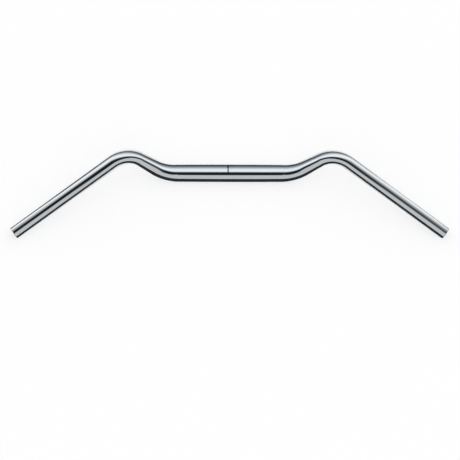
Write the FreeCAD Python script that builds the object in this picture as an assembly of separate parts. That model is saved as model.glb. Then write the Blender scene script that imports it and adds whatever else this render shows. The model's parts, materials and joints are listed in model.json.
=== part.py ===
import FreeCAD, Part
import math
import os

# Swept handlebar for a bicycle: one drawn aluminium tube, bent twice on each side.
# X runs along the stem clamp, Y points forward and Z up, from the middle of the clamp.
# Each half: clamp zone, shoulder cone, tapered first bend, tapered crank, second bend, grip.

# Line of the tube, in millimetres and degrees
bar_width = 800.0            # between the middles of the two tube ends
centre_straight = 196.0      # straight run between the two first bends
first_bend_radius = 72.0
first_bend_angle = 35.5
crank_lift = 42.0            # turn of the first bend out of the grip plane
crank_straight = 34.0
second_bend_radius = 50.0
grip_sweep = 36.0            # grips point back from the clamp line

# Section of the tube, in millimetres
clamp_diameter = 31.8
clamp_zone = 64.0            # length at the full clamp diameter
clamp_wall = 2.4
shoulder_drop = 0.6          # diameter lost between the clamp zone and the first bend
grip_diameter = 22.2
grip_wall = 1.8
end_bevel = 0.5              # outer edge of each tube end
bore_bevel = 0.3             # inner edge of each tube end

clamp_radius = clamp_diameter / 2
shoulder_radius = clamp_radius - shoulder_drop / 2
grip_radius = grip_diameter / 2

x_axis = FreeCAD.Vector(1, 0, 0)


def arc_centre_and_axis(start, heading, next_heading, radius):
    """Centre and turning axis of a bend that starts at a point and turns between two headings."""
    axis = heading.cross(next_heading).normalize()
    return start + axis.cross(heading) * radius, axis


def turned(point, centre, axis, angle):
    """A point turned about an axis through a centre, by an angle in degrees."""
    return centre + FreeCAD.Rotation(axis, angle).multVec(point - centre)


def tube_line(forward, lift):
    """Points and headings of the right half, with the grip plane spanned by X and forward."""
    bend, turn = math.radians(first_bend_angle), math.radians(crank_lift)
    sweep = math.radians(grip_sweep)
    crank_side = forward * math.cos(turn) + lift * math.sin(turn)
    crank_heading = x_axis * math.cos(bend) + crank_side * math.sin(bend)
    grip_heading = x_axis * math.cos(sweep) - forward * math.sin(sweep)

    shoulder = x_axis * (centre_straight / 2)
    centre, axis = arc_centre_and_axis(shoulder, x_axis, crank_heading, first_bend_radius)
    crank_start = turned(shoulder, centre, axis, first_bend_angle)
    crank_end = crank_start + crank_heading * crank_straight

    second_angle = math.degrees(crank_heading.getAngle(grip_heading))
    centre, axis = arc_centre_and_axis(crank_end, crank_heading, grip_heading, second_bend_radius)
    grip_start = turned(crank_end, centre, axis, second_angle)
    grip_length = (bar_width / 2 - grip_start.x) / grip_heading.x
    return {
        "shoulder": shoulder, "crank_start": crank_start, "crank_end": crank_end,
        "grip_start": grip_start, "grip_end": grip_start + grip_heading * grip_length,
        "crank_heading": crank_heading, "grip_heading": grip_heading,
        "second_angle": second_angle, "grip_length": grip_length,
    }


def resting_tilt():
    """Turn about X that sets the clamp's underside and both grip tips on one level."""
    flat = tube_line(FreeCAD.Vector(0, 1, 0), FreeCAD.Vector(0, 0, 1))
    behind, rise = -flat["grip_end"].y, flat["grip_end"].z
    span = math.hypot(behind, rise)
    tip_drop = grip_radius
    for refinement in range(4):
        tilt = math.atan2(rise, behind) + math.asin((clamp_radius - tip_drop) / span)
        tip_drop = grip_radius * math.sqrt(1 - (flat["grip_heading"].y * math.sin(tilt)) ** 2)
    return tilt


tilt = resting_tilt()
grip_plane_forward = FreeCAD.Vector(0, math.cos(tilt), math.sin(tilt))
grip_plane_lift = FreeCAD.Vector(0, -math.sin(tilt), math.cos(tilt))
line = tube_line(grip_plane_forward, grip_plane_lift)

# The tube is swaged evenly from the shoulder to the second bend
first_bend_length = first_bend_radius * math.radians(first_bend_angle)
swaged_share = first_bend_length / (first_bend_length + crank_straight)
crank_radius = shoulder_radius + (grip_radius - shoulder_radius) * swaged_share
crank_wall = clamp_wall + (grip_wall - clamp_wall) * swaged_share


def straight_run(start, end, start_radius, end_radius):
    """Round bar between two points: a cylinder, or a cone where the radius changes."""
    heading = end - start
    length = heading.Length
    if math.isclose(start_radius, end_radius):
        return Part.makeCylinder(start_radius, length, start, heading)
    return Part.makeCone(start_radius, end_radius, length, start, heading)


def tapered_bend(start, heading, end, end_heading, bend_radius, start_radius, end_radius):
    """Round bar along an arc, with a circle at each end and an even taper between them."""
    centre, axis = arc_centre_and_axis(start, heading, end_heading, bend_radius)
    half_angle = math.degrees(heading.getAngle(end_heading)) / 2
    middle = turned(start, centre, axis, half_angle)
    sweep = Part.BRepOffsetAPI.MakePipeShell(Part.Wire(Part.Arc(start, middle, end).toShape()))
    for point, normal, radius in ((start, heading, start_radius), (end, end_heading, end_radius)):
        section = Part.Circle(point, normal, radius)
        section.XAxis = axis
        sweep.add(Part.Wire(section.toShape()))
    sweep.build()
    sweep.makeSolid()
    return sweep.shape()


def even_bend(start, heading, end_heading, bend_radius, radius):
    """Round bar along an arc at one radius: a disc turned about the bend's axis."""
    centre, axis = arc_centre_and_axis(start, heading, end_heading, bend_radius)
    disc = Part.Face(Part.Wire(Part.Circle(start, heading, radius).toShape()))
    return disc.revolve(centre, axis, math.degrees(heading.getAngle(end_heading)))


def half_bar(clamp_r, shoulder_r, crank_r, grip_r, bevel, bevel_step):
    """Right half of the outside or of the bore, from the clamp zone's end to the tube's end."""
    clamp_end = x_axis * (clamp_zone / 2)
    bevel_start = line["grip_end"] - line["grip_heading"] * bevel
    pieces = [
        straight_run(clamp_end, line["shoulder"], clamp_r, shoulder_r),
        tapered_bend(line["shoulder"], x_axis, line["crank_start"], line["crank_heading"],
                     first_bend_radius, shoulder_r, crank_r),
        straight_run(line["crank_start"], line["crank_end"], crank_r, grip_r),
        even_bend(line["crank_end"], line["crank_heading"], line["grip_heading"],
                  second_bend_radius, grip_r),
        straight_run(line["grip_start"], bevel_start, grip_r, grip_r),
        straight_run(bevel_start, line["grip_end"], grip_r, grip_r + bevel_step),
    ]
    return pieces[0].multiFuse(pieces[1:])


def whole_bar(clamp_r, half):
    """Clamp zone with a half on each side, the left one mirrored from the right."""
    clamp = Part.makeCylinder(clamp_r, clamp_zone, x_axis * (-clamp_zone / 2), x_axis)
    left = half.mirror(FreeCAD.Vector(0, 0, 0), x_axis)
    return clamp.multiFuse([half, left])


outside = whole_bar(clamp_radius, half_bar(
    clamp_radius, shoulder_radius, crank_radius, grip_radius, end_bevel, -end_bevel))
bore = whole_bar(clamp_radius - clamp_wall, half_bar(
    clamp_radius - clamp_wall, shoulder_radius - clamp_wall, crank_radius - crank_wall,
    grip_radius - grip_wall, bore_bevel, bore_bevel))
handlebar = outside.cut(bore).Solids[0]

os.makedirs("parts", exist_ok=True)
handlebar.exportStep("parts/handlebar.step")
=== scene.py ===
import json
import math

import bpy
from mathutils import Matrix, Vector


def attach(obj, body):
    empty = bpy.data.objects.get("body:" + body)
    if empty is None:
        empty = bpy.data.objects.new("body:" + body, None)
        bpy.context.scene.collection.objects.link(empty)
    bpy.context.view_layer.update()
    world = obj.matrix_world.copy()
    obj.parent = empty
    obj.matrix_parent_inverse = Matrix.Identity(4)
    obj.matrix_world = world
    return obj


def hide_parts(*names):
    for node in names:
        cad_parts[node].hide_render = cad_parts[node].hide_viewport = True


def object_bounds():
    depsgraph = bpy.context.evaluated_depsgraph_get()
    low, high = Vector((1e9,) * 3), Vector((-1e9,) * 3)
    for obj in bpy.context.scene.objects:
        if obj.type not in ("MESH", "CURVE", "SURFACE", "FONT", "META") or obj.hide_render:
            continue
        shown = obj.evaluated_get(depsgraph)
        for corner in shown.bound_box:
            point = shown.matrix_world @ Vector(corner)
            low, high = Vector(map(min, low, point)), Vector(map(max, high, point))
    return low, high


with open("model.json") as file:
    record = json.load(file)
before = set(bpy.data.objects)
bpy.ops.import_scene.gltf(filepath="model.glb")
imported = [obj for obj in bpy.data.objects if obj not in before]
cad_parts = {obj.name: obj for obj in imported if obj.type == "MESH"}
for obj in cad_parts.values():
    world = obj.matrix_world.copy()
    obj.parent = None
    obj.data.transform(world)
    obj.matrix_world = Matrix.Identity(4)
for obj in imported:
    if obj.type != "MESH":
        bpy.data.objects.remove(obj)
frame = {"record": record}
cad_low, cad_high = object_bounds()
mounts = {mount["name"]: mount for mount in frame["record"]["mounts"]}


# Line of the tube
# The blank is bent cold, twice on each side: the first bend lifts the crank up and forward,
# the second turns it back into the grip. A corner stands where two straight runs would meet.
along_clamp = Vector((1, 0, 0))
grip_heading = Vector(mounts["right_grip"]["axis"])
forward = -Vector((0, grip_heading.y, grip_heading.z)).normalized()
lift = along_clamp.cross(forward)

centre_straight = 0.196
first_bend_radius = 0.072
first_bend_angle = math.radians(35.5)
crank_lift = math.radians(42)
crank_straight = 0.034
second_bend_radius = 0.050
end_bevel = 0.0005

crank_side = forward * math.cos(crank_lift) + lift * math.sin(crank_lift)
crank_heading = along_clamp * math.cos(first_bend_angle) + crank_side * math.sin(first_bend_angle)
second_bend_angle = crank_heading.angle(grip_heading)
first_setback = first_bend_radius * math.tan(first_bend_angle / 2)
second_setback = second_bend_radius * math.tan(second_bend_angle / 2)

grip_length = mounts["right_grip"]["dims"]["length_mm"] / 1000 + end_bevel
first_corner = along_clamp * (centre_straight / 2 + first_setback)
second_corner = first_corner + crank_heading * (first_setback + crank_straight + second_setback)
tube_end = second_corner + grip_heading * (second_setback + grip_length)

shoulder_at = centre_straight / 2
swage_ends_at = shoulder_at + first_bend_radius * first_bend_angle + crank_straight
tube_half = swage_ends_at + second_bend_radius * second_bend_angle + grip_length


def mirrored(point):
    """A point of the right half on the left half."""
    return Vector((-point.x, point.y, point.z))


def wire_object(name, points, closed):
    """Points joined by edges, as a source for the tube's node tree."""
    count = len(points)
    edges = [(i, (i + 1) % count) for i in range(count if closed else count - 1)]
    mesh = bpy.data.meshes.new(name)
    mesh.from_pydata([tuple(point) for point in points], edges, [])
    wire = bpy.data.objects.new(name, mesh)
    bpy.context.scene.collection.objects.link(wire)
    return wire


right_corners = [first_corner, second_corner, tube_end]
left_corners = [mirrored(corner) for corner in reversed(right_corners)]
bend_radii = [first_bend_radius, second_bend_radius, 0]
tube_line = wire_object("tube_line", left_corners + right_corners, closed=False)
bend_at_corner = tube_line.data.attributes.new("bend_radius", "FLOAT", "POINT")
bend_at_corner.data.foreach_set("value", bend_radii[::-1] + bend_radii)


# Handlebar tube
# One drawn aluminium tube, thick and full size in the stem clamp, swaged evenly down to the grips
# and thinner there. It is cut square at both ends, and its rims are lightly bevelled.
clamp_radius = mounts["stem_clamp"]["dims"]["r_mm"] / 1000
clamp_zone = mounts["stem_clamp"]["dims"]["length_mm"] / 1000
grip_radius = mounts["right_grip"]["dims"]["r_mm"] / 1000
grip_bore_radius = mounts["right_end_bore"]["dims"]["r_mm"] / 1000
shoulder_drop = 0.0003
shoulder_radius = clamp_radius - shoulder_drop
clamp_wall = 0.0024
bore_bevel = 0.0003

outside_spacing = 0.002
bore_spacing = 0.006
facets_around = 80
bend_steps = 96
seam_gap = 1e-6
sharp_edge = math.radians(30)

right_outside = [
    (clamp_zone / 2, clamp_radius), (shoulder_at, shoulder_radius), (swage_ends_at, grip_radius),
    (tube_half - end_bevel, grip_radius), (tube_half, grip_radius - end_bevel),
]
right_bore = [
    (tube_half, grip_bore_radius + bore_bevel), (tube_half - bore_bevel, grip_bore_radius),
    (swage_ends_at, grip_bore_radius), (shoulder_at, shoulder_radius - clamp_wall),
    (clamp_zone / 2, clamp_radius - clamp_wall),
]


def both_halves(corners, left_first):
    """The corners of one wall face over the whole tube, from one end to the other."""
    left = [(-along, radius) for along, radius in reversed(corners)]
    return left + corners if left_first else corners + left


def stations(corners, spacing):
    """Corners of a wall face with even stations between them, no further apart than a spacing."""
    placed = []
    for (along, radius), (next_along, next_radius) in zip(corners, corners[1:]):
        count = max(1, math.ceil(abs(next_along - along) / spacing))
        for i in range(count):
            share = i / count
            station_at = along + (next_along - along) * share
            placed.append((station_at, radius + (next_radius - radius) * share, 0))
    return placed + [(*corners[-1], 0)]


outside_stations = stations(both_halves(right_outside, True), outside_spacing)
bore_stations = stations(both_halves(right_bore, False), bore_spacing)
tube = wire_object("handlebar_tube", outside_stations + bore_stations, closed=True)


def tube_tree():
    """Turns a wall section into a straight tube, keeps that shape as an attribute, and bends it."""
    tree = bpy.data.node_groups.new("bent_tube", "GeometryNodeTree")
    for name, kind in (("Wall Section", "NodeSocketGeometry"), ("Outside Stations", "NodeSocketInt"),
                       ("Tube Line", "NodeSocketObject"), ("Facets Around", "NodeSocketInt"),
                       ("Bend Steps", "NodeSocketInt"), ("Finish", "NodeSocketMaterial")):
        tree.interface.new_socket(name, in_out="INPUT", socket_type=kind)
    tree.interface.new_socket("Tube", in_out="OUTPUT", socket_type="NodeSocketGeometry")
    nodes, link = tree.nodes, tree.links.new
    given = nodes.new("NodeGroupInput")

    def math_node(operation, first, second, kind="ShaderNodeMath"):
        node = nodes.new(kind)
        node.operation = operation
        for socket, value in zip(node.inputs, (first, second)):
            if isinstance(value, bpy.types.NodeSocket):
                link(value, socket)
            elif value is not None:
                socket.default_value = value
        return node.outputs[0]

    # Straight tube: one row of the grid for each station of the wall, one column for each facet
    section_size = nodes.new("GeometryNodeAttributeDomainSize")
    link(given.outputs["Wall Section"], section_size.inputs[0])
    columns = math_node("ADD", given.outputs["Facets Around"], 1.0)
    grid = nodes.new("GeometryNodeMeshGrid")
    link(math_node("ADD", section_size.outputs["Point Count"], 1.0), grid.inputs["Vertices X"])
    link(columns, grid.inputs["Vertices Y"])
    index = nodes.new("GeometryNodeInputIndex").outputs[0]
    row = math_node("FLOOR", math_node("DIVIDE", math_node("ADD", index, 0.5), columns), None)
    column = math_node("SUBTRACT", index, math_node("MULTIPLY", row, columns))
    station = nodes.new("GeometryNodeSampleIndex")
    station.data_type = "FLOAT_VECTOR"
    link(given.outputs["Wall Section"], station.inputs["Geometry"])
    link(nodes.new("GeometryNodeInputPosition").outputs[0], station.inputs["Value"])
    link(math_node("MODULO", row, section_size.outputs["Point Count"]), station.inputs["Index"])
    wall = nodes.new("ShaderNodeSeparateXYZ")
    link(station.outputs["Value"], wall.inputs[0])
    turn = math_node("MULTIPLY", math_node("DIVIDE", column, given.outputs["Facets Around"]), -math.tau)
    straight = nodes.new("ShaderNodeCombineXYZ")
    link(wall.outputs["X"], straight.inputs["X"])
    link(math_node("MULTIPLY", wall.outputs["Y"], math_node("COSINE", turn, None)), straight.inputs["Y"])
    link(math_node("MULTIPLY", wall.outputs["Y"], math_node("SINE", turn, None)), straight.inputs["Z"])

    def kept(geometry, name, kind, value):
        node = nodes.new("GeometryNodeStoreNamedAttribute")
        node.data_type = kind
        node.inputs["Name"].default_value = name
        link(geometry, node.inputs["Geometry"])
        link(value, node.inputs["Value"])
        return node.outputs["Geometry"]

    in_bore = math_node("GREATER_THAN", math_node("ADD", row, 0.5), given.outputs["Outside Stations"])
    straight_tube = kept(grid.outputs["Mesh"], "straight", "FLOAT_VECTOR", straight.outputs[0])
    straight_tube = kept(straight_tube, "bore", "FLOAT", in_bore)

    # Bent line: corners rounded to their own radius
    line_object = nodes.new("GeometryNodeObjectInfo")
    link(given.outputs["Tube Line"], line_object.inputs["Object"])
    corner_line = nodes.new("GeometryNodeMeshToCurve")
    link(line_object.outputs["Geometry"], corner_line.inputs["Mesh"])
    bend_radius = nodes.new("GeometryNodeInputNamedAttribute")
    bend_radius.inputs["Name"].default_value = "bend_radius"
    bends = nodes.new("GeometryNodeFilletCurve")
    bends.mode = "POLY"
    link(corner_line.outputs["Curve"], bends.inputs["Curve"])
    link(bend_radius.outputs["Attribute"], bends.inputs["Radius"])
    link(given.outputs["Bend Steps"], bends.inputs["Count"])
    line_length = nodes.new("GeometryNodeCurveLength")
    link(bends.outputs["Curve"], line_length.inputs["Curve"])

    # Bending: each point of the straight tube moves to its place across the line
    own = nodes.new("GeometryNodeInputNamedAttribute")
    own.data_type = "FLOAT_VECTOR"
    own.inputs["Name"].default_value = "straight"
    place = nodes.new("ShaderNodeSeparateXYZ")
    link(own.outputs["Attribute"], place.inputs[0])
    on_line = nodes.new("GeometryNodeSampleCurve")
    on_line.mode = "LENGTH"
    link(bends.outputs["Curve"], on_line.inputs["Curves"])
    half_line = math_node("MULTIPLY", line_length.outputs["Length"], 0.5)
    link(math_node("ADD", half_line, place.outputs["X"]), on_line.inputs["Length"])

    def scaled(vector, factor):
        node = nodes.new("ShaderNodeVectorMath")
        node.operation = "SCALE"
        link(vector, node.inputs[0])
        link(factor, node.inputs["Scale"])
        return node.outputs[0]

    side = math_node("CROSS_PRODUCT", on_line.outputs["Tangent"], on_line.outputs["Normal"],
                     "ShaderNodeVectorMath")
    across = math_node("ADD", scaled(on_line.outputs["Normal"], place.outputs["Y"]),
                       scaled(side, place.outputs["Z"]), "ShaderNodeVectorMath")
    bend = nodes.new("GeometryNodeSetPosition")
    link(straight_tube, bend.inputs["Geometry"])
    link(math_node("ADD", on_line.outputs["Position"], across, "ShaderNodeVectorMath"),
         bend.inputs["Position"])
    closed = nodes.new("GeometryNodeMergeByDistance")
    closed.inputs["Distance"].default_value = seam_gap
    link(bend.outputs["Geometry"], closed.inputs["Geometry"])
    smooth = nodes.new("GeometryNodeSetShadeSmooth")
    link(closed.outputs["Geometry"], smooth.inputs["Geometry"])
    realized = nodes.new("GeometryNodeRealizeInstances")
    link(smooth.outputs["Geometry"], realized.inputs["Geometry"])
    finish = nodes.new("GeometryNodeSetMaterial")
    link(realized.outputs["Geometry"], finish.inputs["Geometry"])
    link(given.outputs["Finish"], finish.inputs["Material"])
    result = nodes.new("NodeGroupOutput")
    link(finish.outputs["Geometry"], result.inputs["Tube"])
    return tree


def polished_aluminium():
    """Buffed aluminium, duller in the bore, with an etched centre mark on the clamp zone."""
    material = bpy.data.materials.new("polished_aluminium")
    material.use_nodes = True
    nodes, link = material.node_tree.nodes, material.node_tree.links.new
    shader = nodes["Principled BSDF"]

    def node(kind, operation, *values):
        made = nodes.new(kind)
        made.operation = operation
        for socket, value in zip(made.inputs, values):
            if isinstance(value, bpy.types.NodeSocket):
                link(value, socket)
            else:
                socket.default_value = value
        return made.outputs["Value" if operation == "DOT_PRODUCT" else 0]

    def mixed(kind, share, first, second):
        made = nodes.new("ShaderNodeMix")
        made.data_type = kind
        sockets = [socket for socket in made.inputs if socket.enabled]
        for socket, value in zip(sockets, (share, first, second)):
            if isinstance(value, bpy.types.NodeSocket):
                link(value, socket)
            else:
                socket.default_value = value
        return next(socket for socket in made.outputs if socket.enabled)

    # Buffing lines run along the tube, over a broad unevenness of the hand polish
    straight = nodes.new("ShaderNodeAttribute")
    straight.attribute_name = "straight"

    def noise(stretch, detail):
        made = nodes.new("ShaderNodeTexNoise")
        made.inputs["Scale"].default_value = 1.0
        made.inputs["Detail"].default_value = detail
        stretched = node("ShaderNodeVectorMath", "MULTIPLY", straight.outputs["Vector"], stretch)
        link(stretched, made.inputs["Vector"])
        return made.outputs["Fac"]

    mirror_roughness = 0.035
    buffing_roughness = 0.05
    haze_roughness = 0.05
    bright_metal = (0.785, 0.825, 0.855, 1)
    hazy_metal = (0.755, 0.795, 0.825, 1)
    buffing = noise((14, 900, 900), 2)
    haze = noise((18, 60, 60), 1)
    polish = node("ShaderNodeMath", "MULTIPLY_ADD", buffing, buffing_roughness, mirror_roughness)
    polish = node("ShaderNodeMath", "MULTIPLY_ADD", haze, haze_roughness, polish)
    metal = mixed("RGBA", haze, bright_metal, hazy_metal)

    # The bore keeps its drawn skin
    bore_roughness = 0.45
    bore_metal = (0.52, 0.53, 0.55, 1)
    bore = nodes.new("ShaderNodeAttribute")
    bore.attribute_name = "bore"
    polish = mixed("FLOAT", bore.outputs["Fac"], polish, bore_roughness)
    metal = mixed("RGBA", bore.outputs["Fac"], metal, bore_metal)

    # Centre mark, a little left of the middle: dashes round the tube. Each has its first and last angle
    # in degrees, forward of the side that faces the lens, and half its width.
    mark_along = -0.0040
    dashes = [(35, 74, 0.0018), (16, 33, 0.0015), (4, 14, 0.0016)]
    mark_roughness = 0.3
    mark_metal = (0.15, 0.16, 0.17, 1)
    place = nodes.new("ShaderNodeTexCoord").outputs["Object"]
    ahead = node("ShaderNodeVectorMath", "DOT_PRODUCT", place, forward)
    above = node("ShaderNodeVectorMath", "DOT_PRODUCT", place, lift)
    angle = node("ShaderNodeMath", "ARCTAN2", ahead, above)
    along = node("ShaderNodeVectorMath", "DOT_PRODUCT", place, along_clamp)
    beside = node("ShaderNodeMath", "ABSOLUTE", node("ShaderNodeMath", "SUBTRACT", along, mark_along))
    mark = 0.0
    for first, last, half_width in dashes:
        middle = math.radians((first + last) / 2)
        reach = math.radians((last - first) / 2)
        off = node("ShaderNodeMath", "ABSOLUTE", node("ShaderNodeMath", "SUBTRACT", angle, middle))
        dash = node("ShaderNodeMath", "MULTIPLY", node("ShaderNodeMath", "LESS_THAN", off, reach),
                    node("ShaderNodeMath", "LESS_THAN", beside, half_width))
        mark = node("ShaderNodeMath", "MAXIMUM", dash, mark)

    link(mixed("RGBA", mark, metal, mark_metal), shader.inputs["Base Color"])
    link(mixed("FLOAT", mark, polish, mark_roughness), shader.inputs["Roughness"])
    shader.inputs["Metallic"].default_value = 1.0
    scratches = nodes.new("ShaderNodeBump")
    scratches.inputs["Strength"].default_value = 0.05
    scratches.inputs["Distance"].default_value = 0.00005
    link(buffing, scratches.inputs["Height"])
    link(scratches.outputs["Normal"], shader.inputs["Normal"])
    return material


def bent(tube, tree, values):
    """Evaluates a node tree on a piece and leaves a plain mesh with no modifier."""
    maker = tube.modifiers.new("bent_tube", "NODES")
    maker.node_group = tree
    for socket in tree.interface.items_tree:
        if socket.in_out == "INPUT" and socket.name in values:
            maker[socket.identifier] = values[socket.name]
    evaluated = tube.evaluated_get(bpy.context.evaluated_depsgraph_get())
    mesh = bpy.data.meshes.new_from_object(evaluated)
    tube.modifiers.clear()
    tube.data = mesh


bent(tube, tube_tree(), {
    "Outside Stations": len(outside_stations), "Tube Line": tube_line, "Facets Around": facets_around,
    "Bend Steps": bend_steps, "Finish": polished_aluminium(),
})
tube.data.set_sharp_from_angle(angle=sharp_edge)
bpy.data.objects.remove(tube_line)
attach(tube, "root")
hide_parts("handlebar")


# Floor
# A plain white sheet under the bar, which lies on its clamp zone and both grip tips.
# It is matt, and it keeps the bar's soft shadow.
floor_reach = 20.0
floor_corners = [(-1, -1), (1, -1), (1, 1), (-1, 1)]
floor_mesh = bpy.data.meshes.new("floor")
floor_mesh.from_pydata(
    [(x * floor_reach, y * floor_reach, cad_low.z) for x, y in floor_corners], [], [(0, 1, 2, 3)])
floor = bpy.data.objects.new("floor", floor_mesh)
bpy.context.scene.collection.objects.link(floor)
floor_paint = bpy.data.materials.new("white_floor")
floor_paint.use_nodes = True
floor_shader = floor_paint.node_tree.nodes["Principled BSDF"]
floor_shader.inputs["Base Color"].default_value = (1, 1, 1, 1)
floor_shader.inputs["Roughness"].default_value = 0.9
floor_shader.inputs["Specular IOR Level"].default_value = 0.0
floor_mesh.materials.append(floor_paint)


# Camera
# It looks almost square onto the plane of the grips, from above and a few degrees to the left.
# Its place follows from where the middle of the clamp lies in the picture.
scene = bpy.context.scene
picture_pixels = 460
pixels_per_metre = 537.5
clamp_in_picture = (229.76, 173.42)
view_turn = math.radians(4)
view_tilt = math.radians(1.1)
view_roll = math.radians(0.115)
camera_data = bpy.data.cameras.new("camera")
camera_data.sensor_width = 36
camera_data.lens = 195
camera_data.clip_end = 100
picture_width = picture_pixels / pixels_per_metre
distance = picture_width * camera_data.lens / camera_data.sensor_width
view = (Matrix((along_clamp, forward, lift)).transposed() @ Matrix.Rotation(-view_turn, 3, "Y")
        @ Matrix.Rotation(-view_tilt, 3, "X") @ Matrix.Rotation(view_roll, 3, "Z"))
picture_right, picture_up, towards_camera = view.col
aim = (picture_right * (picture_pixels / 2 - clamp_in_picture[0])
       - picture_up * (picture_pixels / 2 - clamp_in_picture[1])) / pixels_per_metre
camera = bpy.data.objects.new("camera", camera_data)
camera.matrix_world = Matrix.Translation(aim + towards_camera * distance) @ view.to_4x4()
scene.collection.objects.link(camera)
scene.camera = camera


# Studio light
# Soft light from all round and from behind the lens. A white key over the bar, a black flag round the
# lens, grey cards on the rider's side and a dark card on the floor are seen only in its polish.
surround_level = 0.35
lens_level = 0.65
lamp_disc = math.radians(7)
lamp_lean = math.radians(2.1)
scene.view_settings.view_transform = "Standard"
world = bpy.data.worlds.new("white_surround")
world.use_nodes = True
world.node_tree.nodes["Background"].inputs["Color"].default_value = (1, 1, 1, 1)
world.node_tree.nodes["Background"].inputs["Strength"].default_value = surround_level
scene.world = world

lens_light = bpy.data.lights.new("lens_light", "SUN")
lens_light.energy = lens_level * math.pi / lift.z
lens_light.angle = lamp_disc
lens_lamp = bpy.data.objects.new("lens_light", lens_light)
lens_lamp.rotation_euler = (view @ Matrix.Rotation(lamp_lean, 3, "X")).to_euler()
lens_lamp.visible_glossy = False
scene.collection.objects.link(lens_lamp)

card_glow = bpy.data.materials.new("card_glow")
card_glow.use_nodes = True
card_glow.cycles.emission_sampling = "NONE"
card_nodes = card_glow.node_tree.nodes
card_nodes.clear()
card_tone = card_nodes.new("ShaderNodeAttribute")
card_tone.attribute_name = "tone"
card_light = card_nodes.new("ShaderNodeEmission")
card_out = card_nodes.new("ShaderNodeOutputMaterial")
card_glow.node_tree.links.new(card_tone.outputs["Color"], card_light.inputs["Color"])
card_glow.node_tree.links.new(card_light.outputs[0], card_out.inputs["Surface"])


def cool(tone):
    """A card's grey, bluer the darker it is."""
    red_loss = 0.16
    blue_gain = 0.18
    return (tone * (1 - red_loss * (1 - tone)), tone, tone * (1 + blue_gain * (1 - tone)), 1)


def card(name, columns):
    """A card that only reflections see, from columns of (point, colour) with the same rows."""
    rows = len(columns[0])
    faces = [(i * rows + j, i * rows + j + 1, (i + 1) * rows + j + 1, (i + 1) * rows + j)
             for i in range(len(columns) - 1) for j in range(rows - 1)]
    spots = [spot for column in columns for spot in column]
    mesh = bpy.data.meshes.new(name)
    mesh.from_pydata([tuple(point) for point, colour in spots], [], faces)
    tones = mesh.attributes.new("tone", "FLOAT_COLOR", "POINT")
    tones.data.foreach_set("color", [part for point, colour in spots for part in colour])
    mesh.materials.append(card_glow)
    sheet = bpy.data.objects.new(name, mesh)
    sheet.visible_camera = False
    sheet.visible_diffuse = False
    sheet.visible_shadow = False
    scene.collection.objects.link(sheet)


# Arches over the bar. The rear one has a grey card on the rider's side and the rear of the flag round the
# lens. The front one stands closer, and has the rest of the flag, the key above it and a fading card.
# Their rows are in degrees forward of the lens, and their columns in metres.
rear_arch_radius = 0.7
rear_arch_columns = 48
rear_columns_per_metre = 40
grey_rear = -71.4
clamp_flag_rear = -25
grip_flag_rear = -18
flag_blur = 4
rear_arch_end = 8

front_arch_radius = 0.35
front_arch_columns = 8
front_columns_per_metre = 10
flag_seam = -2
flag_front = 11
flag_front_limit = -1.5
key_start = 26
key_start_limit = 100
key_end = 50
key_end_limit = 108
fade_start = 88
fade_gap = 2
floor_line = 112.5

# Towards the grips the key bows away from the lens and the fading card gets lighter. The flag is deepest
# over the clamp, leans forward over the left grip and is veiled towards the right.
flag_bow = 30
key_start_bow = 150
key_end_bow = 110
deep_flag_at = 0.049
deep_flag_reach = 0.10
deep_flag_blur = 0.10
lean_at = -0.32
lean_reach = 0.17
lean_depth = 9
veil_start = 0.15
veil_gain = 0.2

# Tones of the cards. The key is bluest over the clamp and a little warm over the grips.
grey = (0.63, 0.63, 0.63, 1)
flag_tone = 0.015
key_tone = 1.05
key_gain = 0.4
key_blue_reach = 0.08
key_warmth = 0.4
key_red_loss = 0.05
key_blue_gain = 0.04
fade_tone = 0.36
fade_limit = 1.05
front_tone = 0.12
front_limit = 1.0
fade_gain = 1.2


def flag_colour(along):
    """The flag's colour at a place along the bar."""
    veil = veil_gain * max(0, along - veil_start)
    return tuple(part + veil for part in cool(flag_tone)[:3]) + (1,)


def arch_column(along, radius, rows):
    """The points of an arch at a place along the bar, from rows of (degrees, colour)."""
    column = []
    for degrees, colour in rows:
        angle = math.radians(degrees)
        across = forward * math.sin(angle) + lift * math.cos(angle)
        column.append((along_clamp * along + across * radius, colour))
    return column


rear_arch = []
for place in range(-rear_arch_columns, rear_arch_columns + 1):
    along = place / rear_columns_per_metre
    past_clamp = max(0, abs(along - deep_flag_at) - deep_flag_reach)
    share = min(1, past_clamp / deep_flag_blur)
    rear = clamp_flag_rear + (grip_flag_rear - clamp_flag_rear) * share
    flag = flag_colour(along)
    rear_arch.append(arch_column(along, rear_arch_radius, [
        (grey_rear, grey), (rear - flag_blur, grey), (rear + flag_blur, flag), (rear_arch_end, flag),
    ]))
card("rear_arch_card", rear_arch)

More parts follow.
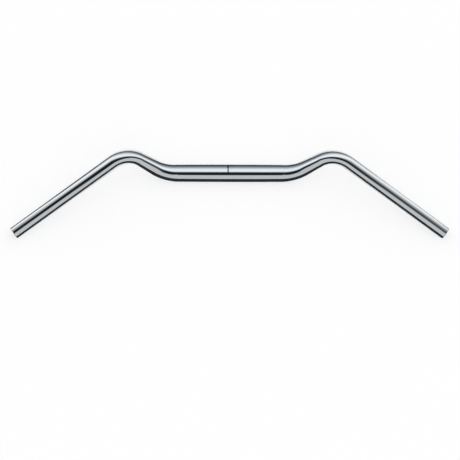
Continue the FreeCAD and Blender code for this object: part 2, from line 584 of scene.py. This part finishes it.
front_arch = []
for place in range(-front_arch_columns, front_arch_columns + 1):
    along = place / front_columns_per_metre
    bow = along * along
    lean = lean_depth * max(0, 1 - ((along - lean_at) / lean_reach) ** 2)
    front = max(flag_front - flag_bow * bow + lean, flag_front_limit)
    key_from = min(key_start + key_start_bow * bow, key_start_limit)
    key_to = min(key_end + key_end_bow * bow, key_end_limit)
    flag = flag_colour(along)
    level = key_tone + key_gain * bow
    blue = max(0, 1 - bow / key_blue_reach) - key_warmth
    key = (level * (1 - key_red_loss * blue), level, level * (1 + key_blue_gain * blue), 1)
    fade = cool(min(fade_tone + fade_gain * bow, fade_limit))
    front_edge = cool(min(front_tone + fade_gain * bow, front_limit))
    front_arch.append(arch_column(along, front_arch_radius, [
        (flag_seam, flag), (front, flag), (key_from, key), (key_to, key),
        (max(fade_start, key_to + fade_gap), fade), (floor_line, front_edge),
    ]))
card("front_arch_card", front_arch)

# Floor cards: a dark one round the bar, wider on the left, a second one over it in front of the left grip,
# and the grey one behind and beyond the ends. Each place has the dark card's rear edge, the line below
# the bar and the front edge.
card_height = cad_low.z + 0.0002
left_card_height = card_height + 0.0002
left_card_ends = (-0.51, -0.36)
left_card_rear = 0.06
left_card_front = 0.34
grey_card_rear = -0.7
grey_card_reach = 1.2
grey_side_edge = -0.16
black = cool(0.03)
dark_front = cool(0.2)
floor_places = [
    (-0.47, -0.20, -0.13, -0.04), (-0.39, -0.20, -0.10, 0.05), (-0.37, -0.20, -0.08, 0.34),
    (-0.20, -0.22, 0.03, 0.34), (-0.07, -0.13, 0.03, 0.34), (0.07, -0.13, 0.03, 0.34),
    (0.20, -0.22, 0.03, 0.34), (0.31, -0.25, -0.05, 0.34), (0.33, -0.25, -0.06, 0.02),
    (0.44, -0.26, -0.14, -0.08),
]
dark_card = []
grey_edges = [(-grey_card_reach, grey_side_edge)]
for along, rear, below, front in floor_places:
    dark_card.append([
        (Vector((along, rear, card_height)), black), (Vector((along, below, card_height)), black),
        (Vector((along, front, card_height)), dark_front)])
    grey_edges.append((along, rear))
grey_edges.append((grey_card_reach, grey_side_edge))
card("dark_floor_card", dark_card)

left_card = []
for along in left_card_ends:
    left_card.append([
        (Vector((along, left_card_rear, left_card_height)), black),
        (Vector((along, left_card_front, left_card_height)), black)])
card("left_floor_card", left_card)

grey_card = []
for along, edge in grey_edges:
    grey_card.append([
        (Vector((along, grey_card_rear, card_height)), grey), (Vector((along, edge, card_height)), grey)])
card("grey_floor_card", grey_card)
